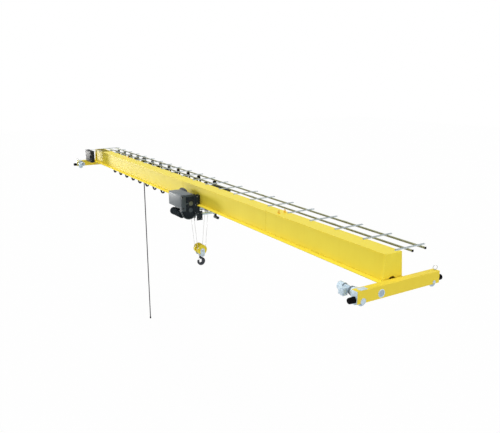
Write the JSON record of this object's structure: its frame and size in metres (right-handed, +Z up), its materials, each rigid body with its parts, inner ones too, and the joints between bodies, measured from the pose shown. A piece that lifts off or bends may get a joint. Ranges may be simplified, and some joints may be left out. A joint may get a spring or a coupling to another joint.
{
  "type": "overhead bridge crane",
  "caption": "Overhead bridge crane with one box girder on wheeled end carriages, a side-hung rope hoist with a hook block, and looped supply cables on a side rail.",
  "frame": {"origin": "mid span of the girder, on the plane of the runway rail tops", "axes": "+X along the girder, +Y to the side with the cable rails, +Z up"},
  "size_m": [21.704, 2.754, 8.415],
  "materials": {
    "girder_paint": "gloss",
    "carriage_paint": "gloss",
    "lug_paint": "gloss",
    "arm_paint": "satin",
    "rail_zinc": "satin",
    "black_plastic": "matte",
    "buffer_rubber": "matte",
    "cable_rubber": "matte",
    "pendant_rubber": "matte",
    "cabinet_paint": "satin",
    "hoist_dark": "satin",
    "hoist_grey": "satin",
    "drive_paint": "gloss",
    "wheel_iron": "satin",
    "rope_steel": "satin",
    "block_paint": "gloss",
    "pin_steel": "satin",
    "hook_black": "satin"
  },
  "bodies": {
    "girder": {"girder_top_flange": "girder_paint", "girder_bottom_flange": "girder_paint", "girder_webs": "girder_paint", "girder_end_plates": "girder_paint", "lifting_lugs": "lug_paint", "carriages": "carriage_paint", "axle_caps": "drive_paint", "buffers": "buffer_rubber", "travel_drives": "drive_paint", "bracket_arms": "arm_paint", "cable_rails": "rail_zinc", "rail_end_caps": "black_plastic", "cable_trolleys_inner": "black_plastic", "cable_trolleys_outer": "black_plastic", "loop_cable_inner": "cable_rubber", "loop_cable_outer": "cable_rubber", "pendant_cable": "pendant_rubber", "pendant_connector": "black_plastic", "control_cabinet": "cabinet_paint"},
    "trolley": {"trolley_frame_front": "hoist_dark", "trolley_frame_back": "hoist_dark", "cross_tubes": "drive_paint", "trolley_drive": "drive_paint", "tow_arm": "hoist_dark", "hoist_cover": "hoist_grey", "hoist_frame": "hoist_dark", "hoist_motor": "hoist_dark", "equalizer_sheave": "wheel_iron", "rope_falls_front": "rope_steel", "rope_falls_back": "rope_steel"},
    "hook_block": {"block_guards": "block_paint", "block_side_plates": "drive_paint", "block_crosshead": "pin_steel"},
    "block_sheaves": {"block_sheaves": "wheel_iron"},
    "hook": {"hook": "hook_black"},
    "hook_latch": {"hook_latch": "pin_steel"},
    "rope_drum": {"rope_drum": "wheel_iron"},
    "carriage_wheel_near_front": {"carriage_wheel_near_front": "wheel_iron"},
    "carriage_wheel_near_back": {"carriage_wheel_near_back": "wheel_iron"},
    "carriage_wheel_far_front": {"carriage_wheel_far_front": "wheel_iron"},
    "carriage_wheel_far_back": {"carriage_wheel_far_back": "wheel_iron"},
    "trolley_wheel_front_near": {"trolley_wheel_front_near": "wheel_iron"},
    "trolley_wheel_front_far": {"trolley_wheel_front_far": "wheel_iron"},
    "trolley_wheel_back_near": {"trolley_wheel_back_near": "wheel_iron"},
    "trolley_wheel_back_far": {"trolley_wheel_back_far": "wheel_iron"}
  },
  "joints": [
    {"name": "trolley_travel", "type": "slide", "parent": "girder", "child": "trolley", "axis": [1, 0, 0], "range_m": [-10.15, 7.9]},
    {"name": "hook_hoist", "type": "slide", "parent": "trolley", "child": "hook_block", "axis": [0, 0, 1], "range_m": [-6, 0.9], "deforming": ["rope_falls_front", "rope_falls_back"]},
    {"name": "drum_turn", "type": "hinge", "parent": "trolley", "child": "rope_drum", "pos_m": [1.24, -0.52, 0.04], "axis": [1, 0, 0], "range_deg": [-4100, 700]},
    {"name": "sheave_turn", "type": "hinge", "parent": "hook_block", "child": "block_sheaves", "pos_m": [1.24, 0, -1.5], "axis": [1, 0, 0], "continuous": true},
    {"name": "hook_swivel", "type": "hinge", "parent": "hook_block", "child": "hook", "pos_m": [1.24, 0, -1.75], "axis": [0, 0, 1], "continuous": true},
    {"name": "latch_hinge", "type": "hinge", "parent": "hook", "child": "hook_latch", "pos_m": [1.24, -0.054, -1.878], "axis": [1, 0, 0], "range_deg": [0, 35], "stiffness_Nm_per_rad": 0.4, "springref_deg": -28.65},
    {"name": "carriage_wheel_near_front_turn", "type": "hinge", "parent": "girder", "child": "carriage_wheel_near_front", "pos_m": [10.751, -1.055, 0.1], "axis": [1, 0, 0], "continuous": true},
    {"name": "carriage_wheel_near_back_turn", "type": "hinge", "parent": "girder", "child": "carriage_wheel_near_back", "pos_m": [10.751, 1.055, 0.1], "axis": [1, 0, 0], "continuous": true},
    {"name": "carriage_wheel_far_front_turn", "type": "hinge", "parent": "girder", "child": "carriage_wheel_far_front", "pos_m": [-10.751, -1.055, 0.1], "axis": [1, 0, 0], "continuous": true},
    {"name": "carriage_wheel_far_back_turn", "type": "hinge", "parent": "girder", "child": "carriage_wheel_far_back", "pos_m": [-10.751, 1.055, 0.1], "axis": [1, 0, 0], "continuous": true},
    {"name": "trolley_wheel_front_near_turn", "type": "hinge", "parent": "trolley", "child": "trolley_wheel_front_near", "pos_m": [1.655, -0.352, 0.351], "axis": [0, 1, 0], "continuous": true},
    {"name": "trolley_wheel_front_far_turn", "type": "hinge", "parent": "trolley", "child": "trolley_wheel_front_far", "pos_m": [0.825, -0.352, 0.351], "axis": [0, 1, 0], "continuous": true},
    {"name": "trolley_wheel_back_near_turn", "type": "hinge", "parent": "trolley", "child": "trolley_wheel_back_near", "pos_m": [1.655, 0.352, 0.351], "axis": [0, 1, 0], "continuous": true},
    {"name": "trolley_wheel_back_far_turn", "type": "hinge", "parent": "trolley", "child": "trolley_wheel_back_far", "pos_m": [0.825, 0.352, 0.351], "axis": [0, 1, 0], "continuous": true}
  ],
  "couplings": [
    {"joint": "drum_turn", "follows": "hook_hoist", "rad_per_m": 11.662}
  ]
}
